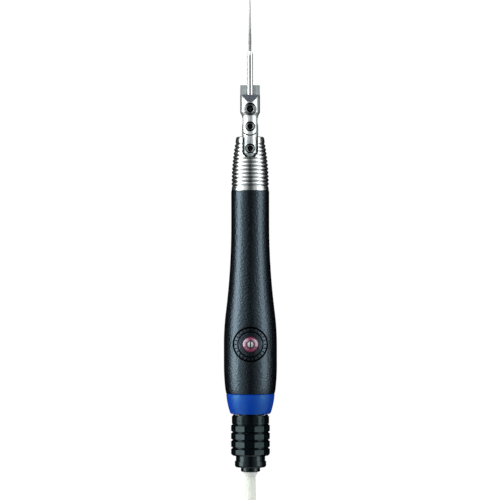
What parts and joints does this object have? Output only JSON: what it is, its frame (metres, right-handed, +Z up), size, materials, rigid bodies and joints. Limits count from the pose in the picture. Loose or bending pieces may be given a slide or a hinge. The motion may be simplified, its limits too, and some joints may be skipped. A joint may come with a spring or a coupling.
{
  "type": "air lapping tool",
  "caption": "Slim compressed-air lapping pen: file in a swivel holder, ribbed nose, swelling grip, turning air ring and a thin hose folded in a tied hank.",
  "frame": {"origin": "under the middle of the tool's length, on the surface that it lies on", "axes": "+Y along the tool's axis toward the tip of the file, +Z up through the screws' sockets, +X across"},
  "size_m": [0.0371, 0.3348, 0.0256],
  "materials": {
    "file_steel": "bright shank, fine grit on the blade",
    "holder_steel": "satin",
    "black_screw_steel": "black oxide",
    "motor_steel": "ground",
    "nose_aluminium": "bright turned",
    "seal_rubber": "matte",
    "bush_bronze": "turned",
    "spring_steel": "drawn wire",
    "inner_aluminium": "turned",
    "grip_black": "black, fine matte grain",
    "bezel_red": "gloss",
    "lock_steel": "satin",
    "ring_blue": "blue anodised, smooth",
    "silencer_felt": "felt",
    "ring_black": "black anodised, half gloss",
    "connector_black": "half gloss",
    "ferrule_white": "half gloss",
    "hose_white": "half gloss, slightly clear",
    "tie_black": "woven strap",
    "coupler_metal": "nickel plated"
  },
  "bodies": {
    "housing": {"cylinder_liner": "motor_steel", "ring_stop_pin": "motor_steel", "nose_cone": "nose_aluminium", "nose_seal": "seal_rubber", "rod_wiper": "seal_rubber", "rear_buffer": "seal_rubber", "head_seal": "seal_rubber", "valve_seals": "seal_rubber", "front_bush": "bush_bronze", "hose_barb": "bush_bronze", "inlet_filter": "bush_bronze", "return_spring": "spring_steel", "cylinder_head": "inner_aluminium", "grip_sleeve": "grip_black", "red_bezel": "bezel_red", "lock_screw": "lock_steel", "blue_ring": "ring_blue", "exhaust_silencer": "silencer_felt", "valve_stem": "ring_black", "hose_nut": "connector_black", "hose_collet": "connector_black", "thrust_washer": "connector_black", "hose_ferrule": "ferrule_white", "air_hose": "hose_white", "air_hose_hank": "hose_white", "hose_tie": "tie_black", "coupler_nut": "coupler_metal", "coupler_plug": "coupler_metal"},
    "ram": {"output_rod": "motor_steel", "piston": "motor_steel", "piston_rings": "seal_rubber", "rod_adaptor": "holder_steel"},
    "adaptor_screw": {"adaptor_set_screw": "black_screw_steel"},
    "tool_head": {"file_holder": "holder_steel"},
    "pivot_screw": {"swivel_pivot_screw": "black_screw_steel"},
    "file": {"lapping_file": "file_steel"},
    "clamp_screw": {"file_clamp_screw": "black_screw_steel"},
    "ring": {"control_ring": "ring_black", "valve_sleeve": "bush_bronze"}
  },
  "joints": [
    {"name": "ram_stroke", "type": "slide", "parent": "housing", "child": "ram", "axis": [0, 1, 0], "range_m": [0, 0.0007], "stiffness_N_per_m": 1500, "springref_m": -0.002, "deforming": ["return_spring"]},
    {"name": "head_swivel", "type": "hinge", "parent": "ram", "child": "tool_head", "pos_m": [0, 0.0436, 0.01062], "axis": [0, 0, 1], "range_deg": [-60, 60]},
    {"name": "file_pull", "type": "slide", "parent": "tool_head", "child": "file", "axis": [0, 1, 0], "range_m": [0, 0.012]},
    {"name": "clamp_screw_turn", "type": "hinge", "parent": "tool_head", "child": "clamp_screw", "pos_m": [0, 0.05055, 0.01062], "axis": [0, 0, 1], "range_deg": [0, 270]},
    {"name": "pivot_screw_turn", "type": "hinge", "parent": "tool_head", "child": "pivot_screw", "pos_m": [0, 0.0436, 0.01062], "axis": [0, 0, 1], "range_deg": [0, 270]},
    {"name": "adaptor_screw_turn", "type": "hinge", "parent": "ram", "child": "adaptor_screw", "pos_m": [0, 0.0348, 0.01062], "axis": [0, 0, 1], "range_deg": [0, 270]},
    {"name": "ring_turn", "type": "hinge", "parent": "housing", "child": "ring", "pos_m": [0, -0.0797, 0.01062], "axis": [0, 1, 0], "range_deg": [0, 90]}
  ]
}
